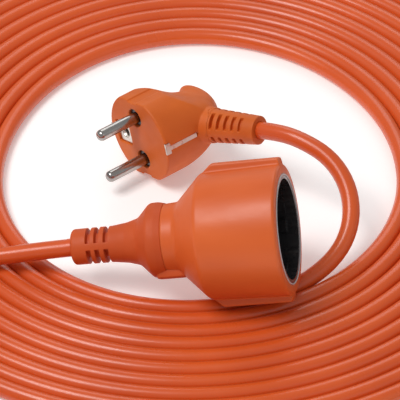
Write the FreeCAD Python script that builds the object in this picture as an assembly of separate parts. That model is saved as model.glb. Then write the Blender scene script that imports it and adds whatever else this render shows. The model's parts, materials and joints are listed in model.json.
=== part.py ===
import FreeCAD, Part
import math
import os

# A coiled three-core extension cord with its angled plug and its in-line socket.
# Millimetres, +Z up. The cord lies on the plane z = 0.
# The origin is under the middle of the box around the plug and the socket.

vector = FreeCAD.Vector
rotation = FreeCAD.Rotation

# Cord
cordRadius = 3.55
coreRadius = 1.25
coreSpread = 1.5
bendShare = 0.45

# Coil: flat spiral, each turn one pitch outside the last, wound clockwise and outwards
coilCentre = vector(-2.2, 13.9, 0)
coilRadius = 81.8
coilPitch = 7.1
ovalSize, ovalPhase = 2.04, 168
triangleSize, trianglePhase = 1.02, 71
coilZeroAngle = 300
coilStartAngle = 276
coilTurns = 10.04
coilStep = 10

# Where the two ends lie
plugFace = vector(-24.8, 16.4, 18.85)
plugHeading, plugRoll = 218.9, 17.6
socketMouth = vector(34.5, -60.35, 37.4)
socketHeading, socketPitch, socketRoll = -6.5, 12, -36
originShift = vector(6.7, 18.4, 0)

# Plug, in its own axes: face at x = 0, pins towards +x, cord leaves on the +y side
pinRadius, pinLength, pinSpacing, pinTipRound = 2.4, 19, 9.5, 1.9
pinShankRadius = 1.9
plugRadius, plugBack, plugEdge = 19, -42, 0.8
# x, lowest y, highest y, half width in z, squareness
plugSections = [
    (1.0, -20.0, 20.0, 20.0, 2.0),
    (-5.0, -19.6, 19.8, 19.6, 2.0),
    (-11.0, -15.8, 19.4, 18.0, 2.4),
    (-17.0, -10.5, 18.6, 14.0, 3.6),
    (-23.0, -8.5, 18.0, 10.6, 3.8),
    (-27.5, -9.5, 16.6, 9.0, 3.2),
    (-31.0, -13.0, 13.6, 8.2, 2.6),
    (-33.8, -15.0, 9.5, 7.8, 2.4),
    (-35.2, -13.8, 8.0, 6.8, 2.2)]
sectionPoints = 32
flatReach, flatLength = 17.2, 14.5
grooveWidth, grooveReach = 5.7, 16.4
bridgeBack, bridgeFront, bossFront = -9, -3, -1.2
bridgeHalf = vector(0, 5, 14)
bossRadius, bossHole = 3.7, 3.9
stripInner, stripOuter, stripWidth, stripFlare, flareLength = 17.9, 18.9, 1.8, 4.8, 2.2
stripBack, farStripBack, stripHoleRadius = -15.6, -6.2, 1
strapBack, strapFront, strapWidth = -6.2, -5.2, 6
earthAt, earthBore, earthOuter, earthDepth = -10.6, 2.5, 3.2, -11
earthPocket = vector(3, 9, 10)
earthPlate = vector(0.8, 7.2, 8.4)
earthRingWidth, earthTabBack, earthTab = 1.8, -12, vector(0, 1.2, 0.5)
tailInner, tailOuter = 6, 9
crimpRadius, crimpLength, earthCrimpFront, coreInCrimp = 1.9, 6, -11, 0.5
coreRun, coreBendBack, coreBendFront = 3.2, vector(-21.4, 2.4, 5.4), -19.5
earthCoreRun, earthCoreBend, earthCoreEnd = 2.2, -18.2, -15.5
plugCordHeading = 110
plugReliefStart = vector(-24, 16, 0)
plugReliefLength, plugReliefWide, plugReliefThin = 25, 7.3, 5.9
plugCordInside = 6
plugNeckWide, plugNeckStart, plugNeckLength = 8.1, -5, 9
slotWidth, slotFirst, slotPitch, slotCount, slotFloor, slotRib = 1.5, 4.6, 3.4, 5, 4.7, 3.2

# Socket, in its own axes: mouth at x = 0, cord leaves towards -x, entry holes on the y axis
rimRadius, rimRound = 26, 1.5
shoulderX, shoulderRadius, shoulderRound = -32.5, 25, 3
neckX, neckRadius, neckRound = -43, 14.5, 2
bodyBack, bodyBackRadius = -52.7, 14.2
ribWidth, ribReach, ribFront, ribBack = 7, 28.5, -0.3, -31.5
ribFoot, ribHeel, ribSlope, ribNose = 23.5, 25, 3.5, 1.2
mouthRadius, mouthDepth, recessRadius = 19.9, 4.3, 19.6
lipRadius, lipDepth = 21.9, 1.5
cupRadius, cupDepth, cupPlate = 22.4, 17.5, 2.5
entryRadius = 2.8
guideWidth, guideHeight, guideFront = 4.6, 2, -4.5
clipSlotFront, clipSlotWidth, clipSlotFloor = -5.2, 7, 19.2
clipWidth, clipThick = 5.6, 0.7
clipEye, clipEyeRadius = vector(-19, 0, 20.5), 0.9
clipNose, clipTip, clipBend = vector(-9, 0, 18.6), vector(-6.5, 0, 19.4), 3
carrierStep, carrierBack, carrierRadius = -24.4, -38, 15.5
shutterFront, shutterBack = -20.3, -22.5
shutterHalfWidth, shutterHalfHeight, shutterPocketTop, shutterGap = 13.5, 4, 15.2, 0.4
shutterRound = 1.2
springRadius, springWire, springTurns = 0.85, 0.25, 8
strapPlateFront, strapPlateBack, strapArmFront = -22.9, -23.8, -20.1
strapArmInner, strapArmOuter, socketStrapWidth = 19.9, 21.4, 5.6
contactBore, contactOuter, contactFront, contactSlit = 2.35, 3.1, -25, 0.6
contactWall, contactRoot, carrierGap = 1, 4, 0.2
earthTailAt, earthTailThick, earthTailWidth = -9.5, 0.9, 4
socketCrimpBack, socketCoreRun, socketCoreBend = -43.5, 4, -47.5
bootBack, bootRadius = -89.2, 7.1
# x, radius, rounding
bootProfile = [
    (-52.7, 14.4, 0.6),
    (-56.7, 14.4, 2.5),
    (-65.8, 8.3, 8.0),
    (-72.0, 7.2, 6.0),
    (-89.2, 7.1, 1.2)]
bootGrooves = [-74.6, -78.5, -82.0]
bootGrooveWidth, bootGrooveFloor, bootGrooveRib = 1.7, 4.8, 3.0
tongueFront, tongueHalfWidth, tongueInner, tongueOuter, tongueRound = -44, 8, 12.6, 15.4, 15.7
socketCordFront = -62

# Route of the cord from the plug's tail down to the innermost turn
plugLeadRoute = [
    (24.2, 7.5, 30.8), (29.9, 4.3, 32.8), (39.6, -1.7, 34.4), (52.4, -10.1, 31.6),
    (60.0, -21.8, 25.0), (60.6, -34.9, 16.8), (53.8, -46.8, 9.3), (38.2, -58.4, 4.3),
    (23.2, -64.9, 3.7), (6.5, -68.9, 3.6)]
# Route from the outermost turn, round and back over the turns, to the socket's tail
socketLeadRoute = [
    (-23.8, -139.5, 3.6), (-49.5, -135.8, 3.6), (-75.3, -136.5, 3.6), (-100.1, -132.1, 3.6),
    (-120.4, -118.8, 3.7), (-132.3, -102.4, 4.6), (-137.2, -87.0, 7.6), (-136.6, -72.6, 11.2),
    (-130.4, -59.3, 11.9), (-119.0, -50.3, 11.4), (-102.7, -46.8, 11.0), (-83.5, -48.0, 11.3),
    (-66.5, -49.1, 15.4), (-52.2, -50.5, 18.8)]

axisX = vector(1, 0, 0)
axisZ = vector(0, 0, 1)


def block(x, y, z):
    # Box between two x, two y and two z values
    corner = vector(min(x), min(y), min(z))
    return Part.makeBox(max(x) - min(x), max(y) - min(y), max(z) - min(z), corner)


def rod(x, radius, y=0, z=0):
    # Cylinder along x between two x values
    return Part.makeCylinder(radius, max(x) - min(x), vector(min(x), y, z), axisX)


def cornerArc(before, corner, after, radius):
    into = (corner - before).normalize()
    out = (after - corner).normalize()
    halfTurn = into.getAngle(out) / 2
    reach = radius * math.tan(halfTurn)
    inward = (out - into).normalize()
    middle = corner + inward * (radius / math.cos(halfTurn) - radius)
    return corner - into * reach, middle, corner + out * reach


def roundedWire(points, radii, closed):
    # Straight runs joined by tangent arcs; a radius of 0 keeps the corner
    corners = []
    for index, point in enumerate(points):
        if radii[index] == 0:
            corners.append((point, None, point))
        else:
            after = points[(index + 1) % len(points)]
            corners.append(cornerArc(points[index - 1], point, after, radii[index]))
    edges = []
    for index, (start, middle, end) in enumerate(corners):
        if middle is not None:
            edges.append(Part.Arc(start, middle, end).toShape())
        if closed or index + 1 < len(corners):
            following = corners[(index + 1) % len(corners)][0]
            if end.distanceToPoint(following) > 1e-6:
                edges.append(Part.LineSegment(end, following).toShape())
    return Part.Wire(edges)


def turned(profile):
    # Solid of revolution about x of an outline of (x, radius, rounding), closed along the axis
    outline = [(profile[0][0], 0, 0)] + profile + [(profile[-1][0], 0, 0)]
    points = [vector(x, radius, 0) for x, radius, rounding in outline]
    radii = [rounding for x, radius, rounding in outline]
    face = Part.Face(roundedWire(points, radii, True))
    return face.revolve(vector(0, 0, 0), axisX, 360)


def bendRadii(points):
    # As large as the two runs beside each point allow
    radii = [0]
    for before, corner, after in zip(points, points[1:], points[2:]):
        into = corner - before
        out = after - corner
        halfTurn = into.getAngle(out) / 2
        radii.append(bendShare * min(into.Length, out.Length) / math.tan(halfTurn))
    return radii + [0]


def tube(points, radius):
    path = roundedWire(points, bendRadii(points), False)
    start = points[0]
    circle = Part.Wire(Part.makeCircle(radius, start, points[1] - start))
    return path.makePipeShell([circle], True, False)


def cordTube(name, route):
    points = [vector(*point) for point in route]
    solid = tube(points, cordRadius)
    length = roundedWire(points, bendRadii(points), False).Length
    bends = [round(radius, 1) for radius in bendRadii(points)[1:-1]]
    share = solid.Volume / (math.pi * cordRadius ** 2 * length)
    print(name, "length", round(length, 1), "volume share", round(share, 4), "radii", bends)
    return solid


def cut(shape, tools):
    for tool in tools:
        shape = shape.cut(tool)
    return shape


def fuse(shapes):
    result = shapes[0]
    for shape in shapes[1:]:
        result = result.fuse(shape)
    return result.removeSplitter()


# Plug

def sectionWire(x, low, high, halfWidth, power):
    # Superellipse: a circle pushed outwards towards its corners as the power grows
    points = []
    for step in range(sectionPoints):
        turn = 2 * math.pi * step / sectionPoints
        across = math.copysign(abs(math.cos(turn)) ** (2 / power), math.cos(turn))
        upward = math.copysign(abs(math.sin(turn)) ** (2 / power), math.sin(turn))
        y = (low + high) / 2 + (high - low) / 2 * across
        points.append(vector(x, y, halfWidth * upward))
    curve = Part.BSplineCurve()
    curve.interpolate(Points=points, PeriodicFlag=True)
    return Part.Wire(curve.toShape())


def alongPlugCord(shape):
    # Places a shape made along x on the line where the cord leaves the plug
    shape.Placement = FreeCAD.Placement(plugReliefStart, rotation(axisZ, plugCordHeading))
    return shape


def plugPin(side):
    shank = [(bridgeBack, pinShankRadius, 0), (bossFront, pinShankRadius, 0)]
    pin = turned(shank + [(bossFront, pinRadius, 0), (pinLength, pinRadius, pinTipRound)])
    return pin.translate(vector(0, 0, side * pinSpacing))


def plugCrimp(x, y, z):
    return rod((x - crimpLength, x), crimpRadius, y, z)


def plugBridge():
    acrossBridge = (-bridgeHalf.y, bridgeHalf.y)
    bars = [block((bridgeBack, bridgeFront), acrossBridge, (-bridgeHalf.z, bridgeHalf.z))]
    for side in (1, -1):
        bars.append(rod((bridgeFront, bossFront), bossRadius, 0, side * pinSpacing))
    return fuse(bars)


def plugEarthYoke():
    # A strap behind the face joins the strip on each side, and a tab behind it takes the earth core
    tail = (tailInner + tailOuter) / 2
    strap = (strapBack, strapFront)
    strip = (-stripWidth / 2, stripWidth / 2)
    pieces = [rod(strap, earthOuter + earthRingWidth, earthAt)]
    pieces.append(block(strap, (-stripInner, stripInner), (-strapWidth / 2, strapWidth / 2)))
    pieces.append(block((stripBack, 0), (stripInner, stripOuter), strip))
    pieces.append(block((farStripBack, 0), (-stripOuter, -stripInner), strip))
    for side in (1, -1):
        y = (side * stripInner, side * stripOuter)
        pieces.append(block((-flareLength, 0), y, (-stripFlare / 2, stripFlare / 2)))
    tabY = (tail - earthTab.y, tail + earthTab.y)
    tab = block((earthTabBack, strapBack), tabY, (-earthTab.z, earthTab.z))
    return fuse(pieces + [tab]).cut(rod(strap, earthOuter, earthAt))


def plugEarthSocket():
    plateX = (-earthPocket.x - earthPlate.x, -earthPocket.x)
    plateY = (earthAt - earthPlate.y / 2, earthAt + earthPlate.y / 2)
    plate = block(plateX, plateY, (-earthPlate.z / 2, earthPlate.z / 2))
    sleeve = rod((earthDepth, -earthPocket.x), earthOuter, earthAt)
    return fuse([plate, sleeve]).cut(rod((earthDepth, 0), earthBore, earthAt))


def plugRelief():
    tail = Part.makeCone(plugReliefWide, plugReliefThin, plugReliefLength, vector(0, 0, 0), axisX)
    for number in range(slotCount):
        x = slotFirst + slotPitch * number
        ring = rod((x, x + slotWidth), plugReliefWide + 2).cut(rod((x, x + slotWidth), slotFloor))
        wide = (-plugReliefWide - 3, plugReliefWide + 3)
        ribs = [block((x, x + slotWidth), wide, (-slotRib / 2, slotRib / 2))]
        ribs.append(block((x, x + slotWidth), (-slotRib / 2, slotRib / 2), wide))
        tail = tail.cut(cut(ring, ribs))
    return tail.cut(rod((0, plugReliefLength), cordRadius))


def plugCores():
    # Each core leaves the end of the cord and bends round to its crimp
    heading = math.radians(plugCordHeading)
    inward = vector(-math.cos(heading), -math.sin(heading), 0)
    across = vector(math.sin(heading), -math.cos(heading), 0)
    start = plugReliefStart + inward * plugCordInside
    tail = (tailInner + tailOuter) / 2
    cores = {}
    for name, side, angle in (("live", 1, 90), ("neutral", -1, 210)):
        turn = math.radians(angle)
        first = start + across * (coreSpread * math.cos(turn)) + axisZ * (coreSpread * math.sin(turn))
        bends = [vector(coreBendBack.x, coreBendBack.y, side * coreBendBack.z)]
        bends.append(vector(coreBendFront, 0, side * pinSpacing))
        end = vector(bridgeBack - crimpLength + coreInCrimp, 0, side * pinSpacing)
        cores[name] = tube([first, first + inward * coreRun] + bends + [end], coreRadius)
    turn = math.radians(330)
    first = start + across * (coreSpread * math.cos(turn)) + axisZ * (coreSpread * math.sin(turn))
    bend = vector(earthCoreBend, tail, 0)
    end = vector(earthCoreEnd, tail, 0)
    cores["earth"] = tube([first, first + inward * earthCoreRun, bend, end], coreRadius)
    return cores


def plugEnvelope():
    # Round shape that enters a socket, with its flats, grooves, slots and holes
    envelope = turned([(0, plugRadius, plugEdge), (plugBack, plugRadius, 0)])
    tools = []
    for side in (1, -1):
        beyond = side * (plugRadius + 1)
        groove = (-grooveWidth / 2, grooveWidth / 2)
        slotBack = stripBack if side > 0 else farStripBack
        slotY = (side * stripInner, beyond)
        tools.append(block((-flatLength, 1), (-plugRadius, plugRadius), (side * flatReach, beyond)))
        tools.append(block((-flatLength, 1), groove, (side * grooveReach, beyond)))
        tools.append(block((slotBack, 1), slotY, (-stripWidth / 2, stripWidth / 2)))
        tools.append(block((-flareLength, 1), slotY, (-stripFlare / 2, stripFlare / 2)))
        tools.append(rod((bridgeFront, 0), bossHole, 0, side * pinSpacing))
    pocketY = (earthAt - earthPocket.y / 2, earthAt + earthPocket.y / 2)
    pocketZ = (-earthPocket.z / 2, earthPocket.z / 2)
    tools.append(block((-earthPocket.x, 1), pocketY, pocketZ))
    tools.append(rod((earthDepth - 1, 0), earthBore, earthAt))
    holeBase = vector(stripBack, stripInner - 1, 0)
    tools.append(Part.makeCylinder(stripHoleRadius, plugRadius, holeBase, vector(0, 1, 0)))
    return cut(envelope, tools)


def plugShell(insides):
    body = Part.makeLoft([sectionWire(*section) for section in plugSections], True, False)
    body = body.common(cut(plugEnvelope(), insides))
    neck = Part.makeCone(plugNeckWide, plugReliefWide, plugNeckLength, vector(plugNeckStart, 0, 0), axisX)
    return fuse([body, cut(alongPlugCord(neck), insides)])


def plugParts():
    cores = plugCores()
    tail = (tailInner + tailOuter) / 2
    cord = alongPlugCord(rod((-plugCordInside, plugReliefLength), cordRadius))
    relief = alongPlugCord(plugRelief()).cut(plugEarthYoke())
    reliefSpace = alongPlugCord(
        Part.makeCone(plugReliefWide, plugReliefThin, plugReliefLength, vector(0, 0, 0), axisX))
    pins = {"live": plugPin(1), "neutral": plugPin(-1)}
    crimps = {"live": plugCrimp(bridgeBack, 0, pinSpacing)}
    crimps["neutral"] = plugCrimp(bridgeBack, 0, -pinSpacing)
    yoke = plugEarthYoke()
    socket = plugEarthSocket()
    bridge = cut(plugBridge(), [yoke] + list(pins.values()))
    crimps["earth"] = plugCrimp(earthCrimpFront, tail, 0).cut(yoke)
    parts = {"plug_bridge": bridge, "plug_earth_yoke": yoke, "plug_earth_socket": socket}
    parts["plug_strain_relief"] = relief
    parts["plug_cord_end"] = cord
    for name, core in cores.items():
        parts["plug_" + name + "_core"] = core
        parts["plug_" + name + "_crimp"] = crimps[name].cut(core)
    insides = [bridge, yoke, socket, cord, reliefSpace] + list(pins.values())
    insides += list(crimps.values()) + list(cores.values())
    parts["plug_body"] = plugShell(insides)
    parts["plug_live_pin"] = pins["live"]
    parts["plug_neutral_pin"] = pins["neutral"]
    return parts


# Socket

def socketCup():
    plateBack = -cupDepth - cupPlate
    lip = [(0, lipRadius, 0), (-lipDepth, lipRadius, 0)]
    cup = turned(lip + [(-lipDepth, cupRadius, 0), (plateBack, cupRadius, 0)])
    cup = cup.cut(rod((-mouthDepth, 1), mouthRadius))
    cup = cup.cut(rod((-cupDepth, -mouthDepth), recessRadius))
    for side in (1, -1):
        guideY = (side * (recessRadius - guideHeight), side * (recessRadius + 0.5))
        cup = cup.fuse(block((-cupDepth, guideFront), guideY, (-guideWidth / 2, guideWidth / 2)))
        cup = cup.cut(rod((plateBack, 0), entryRadius, side * pinSpacing))
        slotZ = (side * clipSlotFloor, side * (cupRadius + 1))
        slotY = (-clipSlotWidth / 2, clipSlotWidth / 2)
        cup = cup.cut(block((plateBack, clipSlotFront), slotY, slotZ))
    return cup


def earthClip(side):
    # Rolled root, straight leaf, rounded nose turned outwards at the tip
    outwards = vector(0, 0, clipThick)
    root = clipEye - outwards / 2
    points = [root, clipNose, clipTip, clipTip + outwards, clipNose + outwards, root + outwards]
    leaf = Part.Face(roundedWire(points, [0, clipBend, 0, 0, clipBend - clipThick, 0], True))
    leaf.translate(vector(0, -clipWidth / 2, 0))
    leaf = leaf.extrude(vector(0, clipWidth, 0))
    eyeBase = vector(clipEye.x, -clipWidth / 2, clipEye.z)
    clip = fuse([leaf, Part.makeCylinder(clipEyeRadius, clipWidth, eyeBase, vector(0, 1, 0))])
    if side < 0:
        clip.rotate(vector(0, 0, 0), axisX, 180)
    return clip


def socketShutter():
    halfY = (-shutterHalfWidth, shutterHalfWidth)
    plate = block((shutterBack, shutterFront), halfY, (-shutterHalfHeight, shutterHalfHeight))
    uprights = [edge for edge in plate.Edges if abs(edge.BoundBox.XLength - plate.BoundBox.XLength) < 1e-3]
    return plate.makeFillet(shutterRound, uprights)


def shutterSpring():
    length = shutterPocketTop - shutterHalfHeight - 2 * springWire
    path = Part.makeHelix(length / springTurns, length, springRadius)
    circle = Part.Wire(Part.makeCircle(springWire, vector(springRadius, 0, 0), vector(0, 1, 0)))
    spring = Part.Wire(path).makePipeShell([circle], True, True)
    middle = (shutterFront + shutterBack) / 2
    return spring.translate(vector(middle, 0, shutterHalfHeight + springWire))


def socketEarthStrap():
    halfWidth = (-socketStrapWidth / 2, socketStrapWidth / 2)
    reach = (-strapArmOuter, strapArmOuter)
    pieces = [block((strapPlateBack, strapPlateFront), halfWidth, reach)]
    for side in (1, -1):
        armZ = (side * strapArmInner, side * strapArmOuter)
        pieces.append(block((strapPlateFront, strapArmFront), halfWidth, armZ))
    tailZ = (earthTailAt - earthTailThick / 2, earthTailAt + earthTailThick / 2)
    tailY = (-earthTailWidth / 2, earthTailWidth / 2)
    pieces.append(block((carrierBack, strapPlateBack), tailY, tailZ))
    return fuse(pieces)


def contact(side):
    y = side * pinSpacing
    sleeve = rod((carrierBack, contactFront), contactOuter, y)
    sleeve = sleeve.cut(rod((carrierBack + contactWall, contactFront), contactBore, y))
    slitZ = (-contactSlit / 2, contactSlit / 2)
    sides = (y - contactOuter, y + contactOuter)
    return sleeve.cut(block((carrierBack + contactRoot, contactFront), sides, slitZ))


def contactCarrier(strap):
    plateBack = -cupDepth - cupPlate
    wide = rod((carrierStep, plateBack), cupRadius)
    carrier = fuse([wide, rod((carrierBack, carrierStep), carrierRadius)])
    pocketY = (-shutterHalfWidth - shutterGap, shutterHalfWidth + shutterGap)
    pocketZ = (-shutterHalfHeight - shutterGap, shutterPocketTop)
    pocketX = (shutterBack - shutterGap, plateBack)
    carrier = carrier.cut(block(pocketX, pocketY, pocketZ))
    for side in (1, -1):
        y = side * pinSpacing
        carrier = carrier.cut(rod((contactFront, plateBack), entryRadius + carrierGap, y))
        carrier = carrier.cut(rod((carrierBack, contactFront), contactOuter, y))
        armZ = (side * (clipSlotFloor + carrierGap), side * (cupRadius + 1))
        armY = (-clipSlotWidth / 2, clipSlotWidth / 2)
        carrier = carrier.cut(block((strapArmFront, plateBack), armY, armZ))
    return carrier.cut(strap)


def socketCrimp(y, z):
    return rod((socketCrimpBack, carrierBack), crimpRadius, y, z)


def socketCores():
    cores = {}
    ends = (("live", 30, pinSpacing, 0), ("neutral", 150, -pinSpacing, 0), ("earth", 270, 0, earthTailAt))
    for name, angle, y, z in ends:
        turn = math.radians(angle)
        first = vector(socketCordFront, coreSpread * math.cos(turn), coreSpread * math.sin(turn))
        second = first + axisX * socketCoreRun
        bend = vector(socketCoreBend, y, z)
        cores[name] = tube([first, second, bend, vector(socketCrimpBack + coreInCrimp, y, z)], coreRadius)
    return cores


def tongue():
    tongueY = (-tongueHalfWidth, tongueHalfWidth)
    slab = block((bodyBack, tongueFront), tongueY, (-tongueOuter, -tongueInner))
    return slab.common(rod((bodyBack, tongueFront), tongueRound))


def socketBoot(insides):
    boot = fuse([turned(bootProfile), tongue()])
    for x in bootGrooves:
        width = (x - bootGrooveWidth / 2, x + bootGrooveWidth / 2)
        rib = (-bootGrooveRib / 2, bootGrooveRib / 2)
        ring = rod(width, bootRadius + 2).cut(rod(width, bootGrooveFloor))
        ring = ring.cut(block(width, (-bootRadius - 3, bootRadius + 3), rib))
        boot = boot.cut(ring)
    return cut(boot, insides)


def gripRib(side):
    points = [
        vector(ribBack, 0, ribFoot),
        vector(ribBack, 0, ribHeel),
        vector(ribBack + ribSlope, 0, ribReach - 0.3),
        vector(ribFront - ribNose, 0, ribReach),
        vector(ribFront, 0, ribReach - 2),
        vector(ribFront, 0, ribFoot)]
    profile = Part.Face(roundedWire(points, [0, 0, 1, 0.8, 0.5, 0], True))
    profile.translate(vector(0, -ribWidth / 2, 0))
    rib = profile.extrude(vector(0, ribWidth, 0))
    if side < 0:
        rib.rotate(vector(0, 0, 0), axisX, 180)
    return rib


def socketShell(insides):
    plateBack = -cupDepth - cupPlate
    body = turned([
        (0, rimRadius, rimRound),
        (shoulderX, shoulderRadius, shoulderRound),
        (neckX, neckRadius, neckRound),
        (bodyBack, bodyBackRadius, 0)])
    body = fuse([body, gripRib(1), gripRib(-1)])
    body = body.cut(rod((-lipDepth, 1), lipRadius))
    body = body.cut(rod((carrierStep, -lipDepth), cupRadius))
    body = body.cut(rod((carrierBack, carrierStep), carrierRadius))
    return cut(body, [tongue()] + insides)


def socketParts():
    cores = socketCores()
    cord = rod((bootBack, socketCordFront), cordRadius)
    strap = socketEarthStrap()
    crimps = {"live": socketCrimp(pinSpacing, 0), "neutral": socketCrimp(-pinSpacing, 0)}
    crimps["earth"] = socketCrimp(0, earthTailAt)
    insides = [cord] + list(cores.values()) + list(crimps.values())
    parts = {"socket_cup": socketCup(), "socket_earth_strap": strap}
    parts["contact_carrier"] = contactCarrier(strap)
    parts["socket_body"] = socketShell(insides)
    parts["socket_boot"] = socketBoot(insides)
    parts["socket_cord_end"] = cord
    parts["live_contact"] = contact(1)
    parts["neutral_contact"] = contact(-1)
    parts["earth_clip_upper"] = earthClip(1)
    parts["earth_clip_lower"] = earthClip(-1)
    parts["shutter"] = socketShutter()
    parts["shutter_spring"] = shutterSpring()
    for name, core in cores.items():
        parts["socket_" + name + "_core"] = core
        parts["socket_" + name + "_crimp"] = crimps[name].cut(core)
    return parts


# Coil

def turnRadius(angle, turns):
    oval = ovalSize * math.cos(math.radians(2 * angle - ovalPhase))
    triangle = triangleSize * math.cos(math.radians(3 * angle + trianglePhase))
    return coilRadius + coilPitch * turns + oval + triangle


def edgeOfTurn(startAngle, startTurns, offset):
    # One whole turn of the spiral, moved inwards or outwards, and closed by a short step
    points = []
    for angle in range(0, 361, coilStep):
        here = startAngle - angle
        radius = turnRadius(here, startTurns + angle / 360) + offset
        direction = vector(math.cos(math.radians(here)), math.sin(math.radians(here)), 0)
        points.append(coilCentre + direction * radius)
    curve = Part.BSplineCurve()
    curve.interpolate(Points=points)
    step = Part.LineSegment(points[-1], points[0]).toShape()
    return Part.Wire([curve.toShape(), step])


def cordCoil():
    startTurns = (coilZeroAngle - coilStartAngle) / 360
    endTurns = startTurns + coilTurns
    endAngle = coilStartAngle - 360 * coilTurns
    inner = Part.Face(edgeOfTurn(coilStartAngle, startTurns, -cordRadius))
    outer = Part.Face(edgeOfTurn(endAngle + 360, endTurns - 1, cordRadius))
    return outer.cut(inner).extrude(vector(0, 0, 2 * cordRadius)).Solids[0]


def placed(shapes, origin, turn):
    placement = FreeCAD.Placement(origin, turn)
    return {name: shape.transformed(placement.toMatrix()) for name, shape in shapes.items()}


def save(name, shape):
    shape = shape.translate(originShift)
    if shape.ShapeType == "Compound" and len(shape.Solids) == 1:
        shape = shape.Solids[0]
    box = shape.optimalBoundingBox(False)
    corners = [round(value, 1) for value in (box.XMin, box.YMin, box.ZMin, box.XMax, box.YMax, box.ZMax)]
    facts = ["valid", shape.isValid(), "solids", len(shape.Solids), "volume", round(shape.Volume)]
    print(name, *facts, corners)
    shape.exportStep("parts/" + name + ".step")


os.makedirs("parts", exist_ok=True)
plugTurn = rotation(axisZ, plugHeading) * rotation(axisX, plugRoll)
socketTurn = rotation(axisZ, socketHeading) * rotation(vector(0, 1, 0), -socketPitch)
socketTurn = socketTurn * rotation(axisX, socketRoll)
ends = placed(plugParts(), plugFace, plugTurn)
ends.update(placed(socketParts(), socketMouth, socketTurn))
for name, shape in ends.items():
    save(name, shape)
save("plug_lead", cordTube("plug_lead", plugLeadRoute))
save("socket_lead", cordTube("socket_lead", socketLeadRoute))
save("cord_coil", cordCoil())
box = FreeCAD.BoundBox()
for shape in ends.values():
    box.add(shape.optimalBoundingBox(False))
middle = [round(box.Center.x, 2), round(box.Center.y, 2)]
print("middle of the two ends", middle, "lowest", round(box.ZMin, 2))
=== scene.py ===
import json
import math
import bmesh
import bpy
import numpy as np
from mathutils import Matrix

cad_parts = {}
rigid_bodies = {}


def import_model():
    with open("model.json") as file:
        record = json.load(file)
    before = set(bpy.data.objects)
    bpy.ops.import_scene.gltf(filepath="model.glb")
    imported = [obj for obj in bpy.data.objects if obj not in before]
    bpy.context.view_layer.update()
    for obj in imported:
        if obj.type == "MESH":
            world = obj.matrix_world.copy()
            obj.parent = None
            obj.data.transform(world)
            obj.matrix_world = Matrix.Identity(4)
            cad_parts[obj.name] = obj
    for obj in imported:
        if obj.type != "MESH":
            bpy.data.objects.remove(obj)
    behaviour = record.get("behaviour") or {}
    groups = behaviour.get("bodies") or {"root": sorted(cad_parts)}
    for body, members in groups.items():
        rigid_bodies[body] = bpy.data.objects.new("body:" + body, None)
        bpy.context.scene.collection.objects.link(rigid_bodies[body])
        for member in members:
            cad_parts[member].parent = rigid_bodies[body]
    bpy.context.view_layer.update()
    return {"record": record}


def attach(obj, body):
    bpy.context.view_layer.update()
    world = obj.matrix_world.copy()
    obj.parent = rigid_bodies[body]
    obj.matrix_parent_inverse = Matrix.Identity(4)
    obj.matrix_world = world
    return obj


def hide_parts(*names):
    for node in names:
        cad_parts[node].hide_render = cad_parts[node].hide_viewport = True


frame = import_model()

# A coiled extension cord with its angled plug and its in-line socket.
# Metres, in the part's own frame. The settings of the plug and the socket are in millimetres.
millimetre = 0.001
opaqueWhite = (1, 1, 1, 1)
mounts = {mount["name"]: mount for mount in frame["record"]["mounts"]}


def unit(direction):
    # The direction divided by its length
    return direction / np.linalg.norm(direction)


def mountPlace(name):
    return np.array(mounts[name]["pos_m"])


def mountAxis(name):
    return unit(np.array(mounts[name]["axis"]))


def directionTo(first, second):
    # Unit vector from the second mount to the first
    return unit(mountPlace(first) - mountPlace(second))


def placed(localMm, origin, axes):
    # Local millimetres to the part's metres: origin plus the local coordinates along the three axes
    return origin + (localMm * millimetre) @ axes


# Plug: origin in its face between the pins, x along the pins, z from the neutral pin to the live pin
faceSetBack = -8
pinAxis = mountAxis("live_pin")
plugUp = directionTo("live_pin", "neutral_pin")
pinMiddle = (mountPlace("live_pin") + mountPlace("neutral_pin")) / 2
plugOrigin = pinMiddle + pinAxis * faceSetBack * millimetre
plugAxes = np.array([pinAxis, np.cross(plugUp, pinAxis), plugUp])

# Socket: origin in the plane of its rim, x out of the mouth, y from the neutral entry to the live entry
rimAhead = 2
mouthAxis = mountAxis("socket_mouth")
socketAcross = directionTo("live_entry", "neutral_entry")
socketOrigin = mountPlace("socket_mouth") + rimAhead * millimetre * mouthAxis
socketAxes = np.array([mouthAxis, socketAcross, np.cross(mouthAxis, socketAcross)])


# Camera, lights and floor

# Elevation in degrees, distance and aim in metres, lens and sensor in millimetres
cameraLook = {"elevation": 41, "distance": 1.65, "lens": 363.8, "sensor": 36, "aim": (0.0067, 0.0184, 0)}


def makeCamera():
    # The camera looks along +y and down; its place is the aim plus the distance, at the elevation
    elevation = math.radians(cameraLook["elevation"])
    aim = np.array(cameraLook["aim"])
    offset = np.array([0, -math.cos(elevation), math.sin(elevation)]) * cameraLook["distance"]
    data = bpy.data.cameras.new("camera")
    data.lens = cameraLook["lens"]
    data.sensor_width = cameraLook["sensor"]
    camera = bpy.data.objects.new("camera", data)
    camera.location = aim + offset
    camera.rotation_euler = (math.pi / 2 - elevation, 0, 0)
    bpy.context.collection.objects.link(camera)
    bpy.context.scene.camera = camera


lightLook = {
    "key": {"place": (-0.55, -0.25, 1.25), "size": 0.6, "power": 11, "colour": (1, 0.985, 0.96)},
    "fill": {"place": (0.9, -0.8, 0.8), "size": 0.9, "power": 0.8, "colour": (0.97, 0.985, 1)},
    "back": {"place": (0.1, 1.2, 0.9), "size": 0.8, "power": 3, "colour": (1, 1, 1)}}
worldStrength = 0.36


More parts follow.
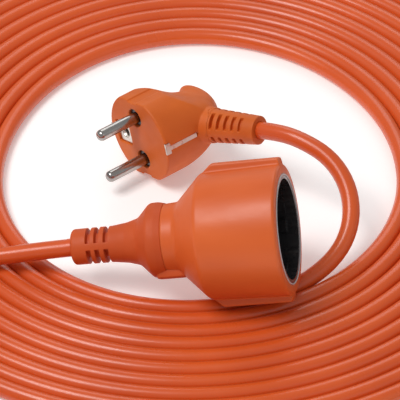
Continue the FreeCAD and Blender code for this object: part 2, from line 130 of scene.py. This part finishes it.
def makeLights():
    # Area lights turned to face the origin: tilt from the height, heading from the ground direction
    for name, look in lightLook.items():
        data = bpy.data.lights.new(name, "AREA")
        data.size = look["size"]
        data.energy = look["power"]
        data.color = look["colour"]
        light = bpy.data.objects.new(name, data)
        place = np.array(look["place"])
        light.location = place
        toward = unit(-place)
        tilt = math.acos(-toward[2])
        heading = math.atan2(toward[1], toward[0]) - math.pi / 2
        light.rotation_euler = (tilt, 0, heading)
        bpy.context.collection.objects.link(light)
    world = bpy.data.worlds.new("studio")
    world.use_nodes = True
    background = world.node_tree.nodes["Background"]
    background.inputs["Color"].default_value = opaqueWhite
    background.inputs["Strength"].default_value = worldStrength
    bpy.context.scene.world = world
    bpy.context.scene.view_settings.view_transform = "Standard"


floorLook = {"reach": 3, "colour": (0.93, 0.93, 0.93), "roughness": 0.9, "emission": 0.22}


def makeFloor():
    # A wide white square at z = 0 that glows a little
    reach = floorLook["reach"]
    mesh = bpy.data.meshes.new("floor")
    mesh.from_pydata([(-reach, -reach, 0), (reach, -reach, 0), (reach, reach, 0), (-reach, reach, 0)],
                     [], [(0, 1, 2, 3)])
    floor = bpy.data.objects.new("floor", mesh)
    bpy.context.collection.objects.link(floor)
    material, shader = newShader("floorWhite")
    shader.inputs["Base Color"].default_value = (*floorLook["colour"], 1)
    shader.inputs["Roughness"].default_value = floorLook["roughness"]
    shader.inputs["Emission Color"].default_value = opaqueWhite
    shader.inputs["Emission Strength"].default_value = floorLook["emission"]
    floor.data.materials.append(material)


# Materials

def newShader(name):
    # A new material and its main shader
    material = bpy.data.materials.new(name)
    material.use_nodes = True
    return material, material.node_tree.nodes["Principled BSDF"]


def noiseNode(tree, coordinates, scale, detail, stretch):
    # Noise over the coordinates, each of the three first multiplied by its stretch
    mapping = tree.nodes.new("ShaderNodeMapping")
    mapping.inputs["Scale"].default_value = stretch
    tree.links.new(coordinates, mapping.inputs["Vector"])
    noise = tree.nodes.new("ShaderNodeTexNoise")
    noise.inputs["Scale"].default_value = scale
    noise.inputs["Detail"].default_value = detail
    tree.links.new(mapping.outputs["Vector"], noise.inputs["Vector"])
    return noise.outputs["Fac"]


def mapped(tree, value, band, low, high):
    # The value's way through the band, stretched to run from low to high
    node = tree.nodes.new("ShaderNodeMapRange")
    node.inputs["From Min"].default_value = band[0]
    node.inputs["From Max"].default_value = band[1]
    node.inputs["To Min"].default_value = low
    node.inputs["To Max"].default_value = high
    tree.links.new(value, node.inputs["Value"])
    return node.outputs["Result"]


# The colour sockets of a mix node, which share their names with its number sockets
mixColourInputs = (6, 7)
mixColourOutput = 2


def mixColour(tree, factor, first, second):
    # Blend from the first colour to the second by the factor; a colour is a tuple or another node's output
    mix = tree.nodes.new("ShaderNodeMix")
    mix.data_type = "RGBA"
    tree.links.new(factor, mix.inputs["Factor"])
    for index, colour in zip(mixColourInputs, (first, second)):
        if isinstance(colour, tuple):
            mix.inputs[index].default_value = (*colour, 1)
        else:
            tree.links.new(colour, mix.inputs[index])
    return mix.outputs[mixColourOutput]


textureLook = {
    "noiseBand": (0.3, 0.7), "edgeBand": (0.52, 0.6), "driftDetail": 4, "smearDetail": 3, "smearFiner": 3,
    "grainDetail": 2, "specular": 0.38}
# What a material has where its own settings say nothing
lookDefaults = {
    "stretch": (1, 1, 1), "wear": 0.25, "grainDepth": 0.0001, "metallic": 0, "coat": 0,
    "coatRoughness": 0.1}


def texturedMaterial(name, ownLook):
    # Colour drifts between two tones, convex edges wear paler, roughness drifts,
    # and fine grain bumps the surface
    look = {**lookDefaults, **ownLook}
    material, shader = newShader(name)
    tree = material.node_tree
    coordinates = tree.nodes.new("ShaderNodeTexCoord").outputs["Object"]
    noiseBand = textureLook["noiseBand"]

    def noise(scale, detail):
        return noiseNode(tree, coordinates, scale, textureLook[detail], look["stretch"])

    drift = mapped(tree, noise(look["driftScale"], "driftDetail"), noiseBand, 0, 1)
    colour = mixColour(tree, drift, look["dark"], look["light"])
    pointiness = tree.nodes.new("ShaderNodeNewGeometry").outputs["Pointiness"]
    edge = mapped(tree, pointiness, textureLook["edgeBand"], 0, look["wear"])
    colour = mixColour(tree, edge, colour, look["worn"])
    tree.links.new(colour, shader.inputs["Base Color"])
    smear = noise(look["driftScale"] * textureLook["smearFiner"], "smearDetail")
    tree.links.new(mapped(tree, smear, noiseBand, *look["roughness"]), shader.inputs["Roughness"])
    bump = tree.nodes.new("ShaderNodeBump")
    bump.inputs["Strength"].default_value = look["grain"]
    bump.inputs["Distance"].default_value = look["grainDepth"]
    tree.links.new(noise(look["grainScale"], "grainDetail"), bump.inputs["Height"])
    tree.links.new(bump.outputs["Normal"], shader.inputs["Normal"])
    shader.inputs["Metallic"].default_value = look["metallic"]
    shader.inputs["Specular IOR Level"].default_value = textureLook["specular"]
    shader.inputs["Coat Weight"].default_value = look["coat"]
    shader.inputs["Coat Roughness"].default_value = look["coatRoughness"]
    return material


materialLooks = {
    "cordOrange": {
        "dark": (0.66, 0.088, 0.014), "light": (0.76, 0.115, 0.02), "worn": (0.8, 0.2, 0.06),
        "driftScale": 22, "roughness": (0.24, 0.36), "grain": 0.12, "grainScale": 700, "coat": 0.25,
        "coatRoughness": 0.2, "wear": 0.05},
    "plugOrange": {
        "dark": (0.6, 0.11, 0.01), "light": (0.7, 0.14, 0.015), "worn": (0.8, 0.22, 0.05),
        "driftScale": 60, "roughness": (0.46, 0.58), "grain": 0.25, "grainScale": 1400, "wear": 0.3},
    "socketOrange": {
        "dark": (0.62, 0.1, 0.018), "light": (0.74, 0.135, 0.026), "worn": (0.85, 0.3, 0.12),
        "driftScale": 35, "roughness": (0.32, 0.46), "grain": 0.28, "grainScale": 420,
        "grainDepth": 0.00012, "stretch": (0.35, 1, 1), "wear": 0.3},
    "bootOrange": {
        "dark": (0.55, 0.075, 0.011), "light": (0.64, 0.095, 0.015), "worn": (0.72, 0.17, 0.05),
        "driftScale": 70, "roughness": (0.5, 0.62), "grain": 0.25, "grainScale": 1300},
    "darkInsert": {
        "dark": (0.012, 0.011, 0.012), "light": (0.03, 0.028, 0.03), "worn": (0.1, 0.1, 0.1),
        "driftScale": 60, "roughness": (0.22, 0.34), "grain": 0.15, "grainScale": 900, "coat": 0.3},
    # Painted highlight: this pale grey colours the thin ring at the socket's mouth, standing in for the
    # glint on the black insert's rim edge
    "rimGrey": {
        "dark": (0.42, 0.4, 0.41), "light": (0.6, 0.58, 0.6), "worn": (0.8, 0.8, 0.8),
        "driftScale": 90, "roughness": (0.25, 0.4), "grain": 0.1, "grainScale": 900},
    # Painted reflection: the nickel is darker than the bare metal, standing in for the dark reflections
    # along the pins
    "nickel": {
        "dark": (0.34, 0.32, 0.31), "light": (0.5, 0.48, 0.46), "worn": (0.7, 0.66, 0.6),
        "driftScale": 120, "roughness": (0.12, 0.26), "grain": 0.08, "grainScale": 1500, "metallic": 1},
    "clipSteel": {
        "dark": (0.6, 0.57, 0.52), "light": (0.78, 0.75, 0.7), "worn": (0.9, 0.87, 0.8),
        "driftScale": 150, "roughness": (0.24, 0.4), "grain": 0.12, "grainScale": 1200, "metallic": 1},
    "brass": {
        "dark": (0.6, 0.4, 0.14), "light": (0.78, 0.55, 0.24), "worn": (0.9, 0.7, 0.35),
        "driftScale": 120, "roughness": (0.2, 0.36), "grain": 0.1, "grainScale": 1200, "metallic": 1},
    "springSteel": {
        "dark": (0.45, 0.45, 0.46), "light": (0.6, 0.6, 0.6), "worn": (0.8, 0.8, 0.8),
        "driftScale": 150, "roughness": (0.2, 0.35), "grain": 0.1, "grainScale": 1200, "metallic": 1},
    "whiteInsulator": {
        "dark": (0.62, 0.6, 0.55), "light": (0.74, 0.72, 0.68), "worn": (0.85, 0.84, 0.8),
        "driftScale": 80, "roughness": (0.4, 0.55), "grain": 0.15, "grainScale": 1200},
    "coreBrown": {
        "dark": (0.1, 0.035, 0.014), "light": (0.15, 0.055, 0.022), "worn": (0.3, 0.15, 0.08),
        "driftScale": 150, "roughness": (0.4, 0.5), "grain": 0.1, "grainScale": 1500},
    "coreBlue": {
        "dark": (0.015, 0.08, 0.36), "light": (0.025, 0.12, 0.48), "worn": (0.15, 0.3, 0.6),
        "driftScale": 150, "roughness": (0.4, 0.5), "grain": 0.1, "grainScale": 1500},
    "coreEarth": {
        "dark": (0.06, 0.28, 0.03), "light": (0.62, 0.56, 0.04), "worn": (0.7, 0.65, 0.2),
        "driftScale": 260, "roughness": (0.4, 0.5), "grain": 0.1, "grainScale": 1500},
    "tinnedCopper": {
        "dark": (0.6, 0.52, 0.45), "light": (0.75, 0.7, 0.64), "worn": (0.85, 0.8, 0.72),
        "driftScale": 150, "roughness": (0.25, 0.4), "grain": 0.1, "grainScale": 1500, "metallic": 1}}
materials = {}


def makeMaterials():
    for name, look in materialLooks.items():
        materials[name] = texturedMaterial(name, look)


def slotMaterial(slot):
    # The material of a slot has the same name, with capitals in place of the underscores
    first, *others = slot.split("_")
    return materials[first + "".join(word.title() for word in others)]


def dressCad():
    # Every node of the part takes the material of its slot
    for subpart in frame["record"]["subparts"]:
        node = bpy.data.objects[subpart["node"]]
        for holder in node.material_slots:
            holder.material = slotMaterial(subpart["material_slot"])


# Surfaces

def gridPiece(name, points, material, closedRows=False):
    # Quads between neighbouring rows and columns of an array of points; columns always close into rings,
    # and rows do where closedRows says so
    rows, columns = points.shape[:2]
    mesh = bpy.data.meshes.new(name)
    lastRow = rows if closedRows else rows - 1
    row, column = np.meshgrid(np.arange(lastRow), np.arange(columns), indexing="ij")
    nextRow = (row + 1) % rows
    nextColumn = (column + 1) % columns
    corners = [row * columns + column, nextRow * columns + column,
               nextRow * columns + nextColumn, row * columns + nextColumn]
    quads = np.stack(corners, axis=-1).reshape(-1, 4)
    mesh.vertices.add(rows * columns)
    mesh.vertices.foreach_set("co", points.reshape(-1))
    mesh.loops.add(quads.size)
    mesh.loops.foreach_set("vertex_index", quads.reshape(-1).astype(np.int32))
    mesh.polygons.add(len(quads))
    mesh.polygons.foreach_set("loop_start", np.arange(0, quads.size, 4, dtype=np.int32))
    mesh.update(calc_edges=True)
    mesh.validate()
    return finishPiece(name, mesh, material)


def finishPiece(name, mesh, material):
    # Faces turned outwards, smooth shading, one material, and an object that holds the mesh
    shape = bmesh.new()
    shape.from_mesh(mesh)
    bmesh.ops.recalc_face_normals(shape, faces=shape.faces)
    shape.to_mesh(mesh)
    shape.free()
    mesh.polygons.foreach_set("use_smooth", np.ones(len(mesh.polygons), dtype=bool))
    mesh.materials.clear()
    mesh.materials.append(materials[material])
    piece = bpy.data.objects.new(name, mesh)
    bpy.context.collection.objects.link(piece)
    return piece


def roundedOutline(corners, arcSteps, spacing):
    # Open line along (x, radius, rounding) corners: straight stretches in equal short steps, and each
    # rounded corner as an arc tangent to both of its sides; the two ends have a rounding of 0
    places = np.array([corner[:2] for corner in corners], float)
    pieces = []
    for index, place in enumerate(places):
        rounding = corners[index][2]
        if rounding == 0:
            pieces.append(place[None])
            continue
        into = unit(place - places[index - 1])
        out = unit(places[index + 1] - place)
        turn = math.acos(np.clip(into @ out, -1, 1))
        reach = rounding * math.tan(turn / 2)
        middle = place + unit(out - into) * rounding / math.cos(turn / 2)
        start = place - into * reach - middle
        end = place + out * reach - middle
        share = np.linspace(0, 1, arcSteps)[:, None]
        arc = (np.sin((1 - share) * turn) * start + np.sin(share * turn) * end) / math.sin(turn)
        pieces.append(middle + arc)
    outline = pieces[:1]
    for piece in pieces[1:]:
        start = outline[-1][-1]
        steps = max(2, int(np.linalg.norm(piece[0] - start) / spacing) + 1)
        share = np.linspace(0, 1, steps)[1:-1, None]
        outline.append(start + (piece[0] - start) * share)
        outline.append(piece)
    return np.concatenate(outline)


def fullTurn(steps):
    # Equal angles round a circle, the last one a step short of the first
    return np.linspace(0, 2 * math.pi, steps + 1)[:-1]


def ringPoints(outline, angles):
    # Outline of (x, radius) turned round the x axis: rows follow the outline, columns the angles
    x = outline[:, :1] + 0 * angles
    return np.stack([x, outline[:, 1:] * np.cos(angles), outline[:, 1:] * np.sin(angles)], axis=-1)


def radiusAt(outline, x):
    # Radius at the given x of an outline that runs towards smaller x
    return np.interp(-x, -outline[:, 0], outline[:, 1])


def smoothStep(value, low, high):
    # 0 below low, 1 above high, and an S-shaped curve between
    share = np.clip((value - low) / (high - low), 0, 1)
    return share * share * (3 - 2 * share)


def softPower(value, power):
    # Power of the size of a value, with the value's own sign; a power below 1 squares off a circle
    return np.sign(value) * np.abs(value) ** power


# Cord

# Lengths in metres and angles in degrees; the oval and the triangle are each a size and a phase.
# Only insideTail, along the socket's x, and the shift of the routes are in millimetres
cordLook = {
    "radius": 0.00355, "length": 7.83, "centre": (-0.0022, 0.0139), "innerRadius": 0.0818, "pitch": 0.0071,
    "oval": (0.00204, 168), "triangle": (0.00102, 71), "zeroAngle": 300, "startAngle": 276, "turns": 10.04,
    "pointsPerTurn": 36, "insideTail": -78, "splineOrder": 3, "splineSteps": 5, "roundSteps": 4}
routeShift = np.array([6.7, 18.4, 0])
plugLeadRouteMetres = [
    (0.0242, 0.0075, 0.0308), (0.0299, 0.0043, 0.0328), (0.0396, -0.0017, 0.0344),
    (0.0524, -0.0101, 0.0316), (0.06, -0.0218, 0.025), (0.0606, -0.0349, 0.0168),
    (0.0538, -0.0468, 0.0093), (0.0382, -0.0584, 0.0043), (0.0232, -0.0649, 0.0037),
    (0.0065, -0.0689, 0.0036)]
socketLeadRouteMetres = [
    (-0.0238, -0.1395, 0.0036), (-0.0495, -0.1358, 0.0036), (-0.0753, -0.1365, 0.0036),
    (-0.1001, -0.1321, 0.0036), (-0.1204, -0.1188, 0.0037), (-0.1323, -0.1024, 0.0046),
    (-0.1372, -0.0870, 0.0076), (-0.1366, -0.0726, 0.0112), (-0.1304, -0.0593, 0.0119),
    (-0.1190, -0.0503, 0.0114), (-0.1027, -0.0468, 0.0110), (-0.0835, -0.0480, 0.0113),
    (-0.0665, -0.0491, 0.0154), (-0.0522, -0.0505, 0.0188)]


def coilPoints():
    # Flat spiral: the radius grows by one pitch a turn, with a slight oval and a slight three-sided
    # wave. The points lie just outside it, because the curve cuts the corners between them
    look = cordLook
    step = 360 / look["pointsPerTurn"]
    swept = np.arange(step, look["turns"] * 360 - step / 2, step)
    angle = look["startAngle"] - swept
    turns = (look["zeroAngle"] - angle) / 360
    ovalSize, ovalPhase = look["oval"]
    triangleSize, trianglePhase = look["triangle"]
    oval = ovalSize * np.cos(np.radians(2 * angle - ovalPhase))
    triangle = triangleSize * np.cos(np.radians(3 * angle + trianglePhase))
    onCurve = look["innerRadius"] + look["pitch"] * turns + oval + triangle
    radius = onCurve / math.cos(math.radians(step / 2))
    x = look["centre"][0] + radius * np.cos(np.radians(angle))
    y = look["centre"][1] + radius * np.sin(np.radians(angle))
    return np.stack([x, y, np.full_like(x, look["radius"])], axis=-1)


def makeCord():
    # Plug lead, turns and socket lead as one curve; the last stretch runs on inside the socket's tail
    points = np.concatenate([plugLeadRouteMetres, coilPoints(), socketLeadRouteMetres])
    points = points + routeShift * millimetre
    hidden = placed(np.array([[cordLook["insideTail"], 0, 0]]), socketOrigin, socketAxes)
    points = np.concatenate([points, hidden])
    curve = bpy.data.curves.new("extensionCord", "CURVE")
    curve.dimensions = "3D"
    spline = curve.splines.new("NURBS")
    spline.points.add(len(points) - 1)
    spline.points.foreach_set("co", np.c_[points, np.ones(len(points))].reshape(-1))
    spline.order_u = cordLook["splineOrder"]
    spline.use_endpoint_u = True
    spline.resolution_u = cordLook["splineSteps"]
    curve.bevel_depth = cordLook["radius"]
    curve.bevel_resolution = cordLook["roundSteps"]
    curve.materials.append(materials["cordOrange"])
    cord = bpy.data.objects.new("extensionCord", curve)
    bpy.context.collection.objects.link(cord)
    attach(cord, "cord_set")
    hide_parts("plug_lead", "cord_coil", "socket_lead")


# Plug

softLooks = {
    "plugShell": {"node": "plug_body", "voxel": 0.3, "relax": 0.5, "rounds": 3},
    "plugTail": {"node": "plug_strain_relief", "voxel": 0.22, "relax": 0.5, "rounds": 3}}


def softenedPiece(name):
    # The node's shape with the softly rounded edges of moulded plastic: even small quads, then relaxed
    look = softLooks[name]
    source = bpy.data.objects[look["node"]]
    draft = bpy.data.objects.new(name + "Draft", source.data.copy())
    bpy.context.collection.objects.link(draft)
    remesh = draft.modifiers.new("remesh", "REMESH")
    remesh.mode = "VOXEL"
    remesh.voxel_size = look["voxel"] * millimetre
    relax = draft.modifiers.new("relax", "SMOOTH")
    relax.factor = look["relax"]
    relax.iterations = look["rounds"]
    evaluated = draft.evaluated_get(bpy.context.evaluated_depsgraph_get())
    mesh = bpy.data.meshes.new_from_object(evaluated)
    bpy.data.objects.remove(draft)
    piece = finishPiece(name, mesh, "plugOrange")
    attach(piece, "cord_set")
    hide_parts(look["node"])


earthLook = {
    "x": -0.9, "y": -10.7, "half": (4.3, 4.9), "squareness": 0.35, "hole": 2.5, "steps": 96,
    # depth below the plate's face, and share of the way from the square to the round hole
    "rings": [(2, 1), (0.1, 1), (0, 0.9), (0, 0.6), (0, 0.3), (0, 0.05), (0.08, 0.01), (0.3, 0), (2, 0)]}


def makeEarthPlate():
    # Plate in the earth pocket: rings that come up out of the round hole, pass outwards to a rounded
    # square and go down round its edge
    look = earthLook
    turn = fullTurn(look["steps"])
    onCircle = np.stack([np.cos(turn), np.sin(turn)], axis=-1)
    circle = look["hole"] * onCircle
    square = np.array(look["half"]) * softPower(onCircle, look["squareness"])
    points = []
    for depth, share in look["rings"]:
        flat = circle * share + square * (1 - share)
        x = np.full(look["steps"], look["x"] - depth)
        points.append(np.stack([x, look["y"] + flat[:, 0], flat[:, 1]], axis=-1))
    piece = gridPiece("earthPlate", placed(np.array(points), plugOrigin, plugAxes), "clipSteel")
    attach(piece, "cord_set")


# Socket

socketLook = {
    # x, radius and rounding of the corners, from the rim to the neck and back through the inside
    "outside": [(0, 21.9, 0), (0, 26, 1.4), (-32.5, 25, 3), (-43, 14.4, 3), (-48.6, 14, 0)],
    "inside": [(-48.6, 11, 0), (-43, 11, 0), (-38, 15.6, 0), (-24.4, 15.6, 0), (-24.4, 22.4, 0),
               (-1.5, 22.4, 0), (-1.5, 21.9, 0)],
    "arcSteps": 9, "spacing": 0.7, "insideSpacing": 2,
    # the stretch between the rounded corners, and rings added in it where the ribs begin and end
    "barrel": (-1.5, -32), "addedRings": (-2.0, -2.4, -27.6, -28.0, -31.4, -31.7),
    "ribX": (-32.4, -31.5, -28.2, -27.4, -1.6, -0.9, -0.5, -0.2),
    "ribReach": (23.5, 25.2, 28.1, 28.4, 28.5, 28.3, 27.3, 24.2),
    "ribHalfWidth": 3.5, "ribFootRadius": 25.3, "ribTopSteps": 9, "barrelSteps": 74,
    # a rib's side: distance out from its edge, and share of its height
    "ribSide": [(2.2, 0), (1.1, 0), (0.5, 0.02), (0.22, 0.08), (0.08, 0.2), (0.02, 0.4), (0, 0.62),
                (-0.03, 0.8), (-0.14, 0.92), (-0.34, 0.985), (-0.7, 1)]}
faceTolerance = 1e-6


def ribColumns():
    # Angles round the barrel, and how far each column rises onto a rib: each rib has a flat top,
    # steep sides with a small fillet at the foot, and a rounded top edge
    look = socketLook
    perMillimetre = 1 / look["ribFootRadius"]
    reaches = [(look["ribHalfWidth"] + offset) * perMillimetre for offset, rise in look["ribSide"]]
    sideRises = [rise for offset, rise in look["ribSide"]]
    angles = []
    rises = []
    for centre in (math.pi / 2, 3 * math.pi / 2):
        before = [centre - reach for reach in reaches]
        after = [centre + reach for reach in reversed(reaches)]
        top = np.linspace(before[-1], after[0], look["ribTopSteps"])[1:-1]
        between = np.linspace(after[-1], centre + math.pi - reaches[0], look["barrelSteps"])[1:-1]
        angles.extend([*before, *top, *after, *between])
        rises.extend([*sideRises, *np.ones(len(top)), *reversed(sideRises), *np.zeros(len(between))])
    return np.array(angles), np.array(rises)


def makeSocketShell():
    # A turned outline whose points rise onto the ribs: each is lifted by how far the rib's reach at its
    # x exceeds its radius, times the rise of its column
    look = socketLook
    outside = roundedOutline(look["outside"], look["arcSteps"], look["spacing"])
    front, back = look["barrel"]
    barrel = outside[(outside[:, 0] < front) & (outside[:, 0] > back)]
    added = np.array(look["addedRings"])
    outside = np.concatenate([outside, np.stack([added, radiusAt(barrel, added)], axis=-1)])
    face = outside[:, 0] > -faceTolerance
    order = np.argsort(-outside[~face][:, 0], kind="stable")
    outside = np.concatenate([outside[face], outside[~face][order]])
    inside = roundedOutline(look["inside"], look["arcSteps"], look["insideSpacing"])
    angles, rises = ribColumns()
    points = ringPoints(np.concatenate([outside, inside]), angles)
    reach = np.interp(outside[:, 0], look["ribX"], look["ribReach"], 0, 0)
    lift = np.clip(reach - outside[:, 1], 0, None)
    points[:len(outside), :, 2] += lift[:, None] * rises * np.sign(np.sin(angles))
    piece = gridPiece("socketShell", placed(points, socketOrigin, socketAxes), "socketOrange", True)
    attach(piece, "cord_set")
    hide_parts("socket_body")


tailLook = {
    # x, radius and rounding of the corners, from the neck to the end and back through the inside
    "outside": [(-48.5, 13.5, 0), (-48.5, 14.3, 0.3), (-51.2, 14.9, 2), (-54.4, 14.8, 2.4), (-59.6, 9.4, 4),
                (-64.5, 8.0, 7), (-70.5, 7.2, 3), (-86.9, 7.1, 1.4), (-86.9, 3.7, 0)],
    "inside": [(-86.7, 3.65, 0), (-60, 3.65, 0), (-49, 11, 0)],
    "arcSteps": 9, "spacing": 0.6, "insideSpacing": 2, "straight": (-70.6, -85), "turnSteps": 96,
    "grooves": (-72.3, -76.1, -79.6), "grooveDepth": 2.4, "grooveClear": 1.25,
    # where a groove's wall ends and begins, and the rings that follow it, from the groove's middle
    "grooveWall": (0.77, 0.95),
    "grooveRings": (-1.2, -0.98, -0.9, -0.82, -0.74, -0.4, 0, 0.4, 0.74, 0.82, 0.9, 0.98, 1.2),
    # the bridges: radius they are measured at, half width, its soft edge, and the columns beside it
    "bridgeRadius": 7.1, "bridgeHalf": 1.5, "bridgeEdge": 0.15,
    "bridgeColumns": (-0.09, -0.045, -0.015, 0.015, 0.045, 0.09), "angleDigits": 5,
    # points closer to the axis than this belong to the inside and have no grooves
    "insideBelow": 6}


def tailOutline():
    # The outline with the rings of the grooves in place of its own points near them
    look = tailLook
    outside = roundedOutline(look["outside"], look["arcSteps"], look["spacing"])
    inside = roundedOutline(look["inside"], look["arcSteps"], look["insideSpacing"])
    front, back = look["straight"]
    x = outside[:, 0]
    straight = (x < front) & (x > back)
    clear = np.ones(len(outside), bool)
    for groove in look["grooves"]:
        clear &= np.abs(x - groove) > look["grooveClear"]
    added = np.concatenate([groove + np.array(look["grooveRings"]) for groove in look["grooves"]])
    addedPoints = np.stack([added, radiusAt(outside[straight], added)], axis=-1)
    middle = np.concatenate([outside[clear & straight], addedPoints])
    middle = middle[np.argsort(-middle[:, 0])]
    return np.concatenate([outside[x >= front], middle, outside[x <= back], inside])


def makeSocketTail():
    # A turned outline; each groove sinks where x is within it and away from the two bridges at the sides
    look = tailLook
    outline = tailOutline()
    edge = math.asin(look["bridgeHalf"] / look["bridgeRadius"])
    columns = np.array(look["bridgeColumns"])
    edges = [centre + side * edge + columns for centre in (0, math.pi) for side in (-1, 1)]
    angles = np.mod(np.concatenate([fullTurn(look["turnSteps"]), *edges]), 2 * math.pi)
    angles = np.unique(np.round(angles, look["angleDigits"]))
    inGroove = np.zeros(len(outline))
    for groove in look["grooves"]:
        away = np.abs(outline[:, 0] - groove)
        inGroove = np.maximum(inGroove, 1 - smoothStep(away, *look["grooveWall"]))
    inGroove *= outline[:, 1] > look["insideBelow"]
    fromMiddle = np.abs(look["bridgeRadius"] * np.sin(angles))
    fromBridge = smoothStep(fromMiddle, look["bridgeHalf"] - look["bridgeEdge"],
                            look["bridgeHalf"] + look["bridgeEdge"])
    points = ringPoints(outline, angles)
    shrink = 1 - inGroove[:, None] * fromBridge * look["grooveDepth"] / outline[:, 1:]
    points[..., 1:] *= shrink[..., None]
    piece = gridPiece("socketTail", placed(points, socketOrigin, socketAxes), "bootOrange", True)
    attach(piece, "cord_set")
    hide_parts("socket_boot")


tongueLook = {
    "centre": (-46.6, 0, -13.6), "half": (6.4, 8.4, 1.9), "squareness": 0.3, "curl": 0.012,
    "heightSteps": 41, "turnSteps": 72}


def makeTongue():
    # Rounded slab: the sines and cosines of a sphere's two angles, raised to a small power;
    # it rises with the square of y, to follow the round of the neck
    look = tongueLook
    height = np.linspace(-math.pi / 2, math.pi / 2, look["heightSteps"])[:, None]
    turn = fullTurn(look["turnSteps"])
    across = softPower(np.cos(height), look["squareness"])
    slab = [across * softPower(np.cos(turn), look["squareness"]),
            across * softPower(np.sin(turn), look["squareness"]),
            softPower(np.sin(height), look["squareness"]) + 0 * turn]
    points = np.array(look["centre"]) + np.stack(slab, axis=-1) * np.array(look["half"])
    points[..., 2] += look["curl"] * (points[..., 1] - look["centre"][1]) ** 2
    piece = gridPiece("socketTongue", placed(points, socketOrigin, socketAxes), "bootOrange")
    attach(piece, "cord_set")


# Size and place of the pale ring that paints the highlight on the insert's rim edge
rimHighlightLook = {
    "x": -0.05, "radius": 21.6, "halfDepth": 0.4, "halfWidth": 0.3, "sectionSteps": 16, "turnSteps": 160}


def makeRimHighlight():
    # Thin pale grey ring with an oval section at the front of the insert: a painted highlight that stands
    # in for the glint along the black insert's glossy rim edge
    look = rimHighlightLook
    section = fullTurn(look["sectionSteps"])
    outline = np.stack([look["x"] + look["halfDepth"] * np.cos(section),
                        look["radius"] + look["halfWidth"] * np.sin(section)], axis=-1)
    points = ringPoints(outline, fullTurn(look["turnSteps"]))
    piece = gridPiece("rimEdge", placed(points, socketOrigin, socketAxes), "rimGrey", True)
    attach(piece, "cord_set")


makeMaterials()
makeCamera()
makeLights()
makeFloor()
print("stage and camera made")
makeCord()
print("cord made")
dressCad()
for pieceName in softLooks:
    softenedPiece(pieceName)
makeEarthPlate()
print("plug made")
makeSocketShell()
makeSocketTail()
makeTongue()
makeRimHighlight()
print("socket made")
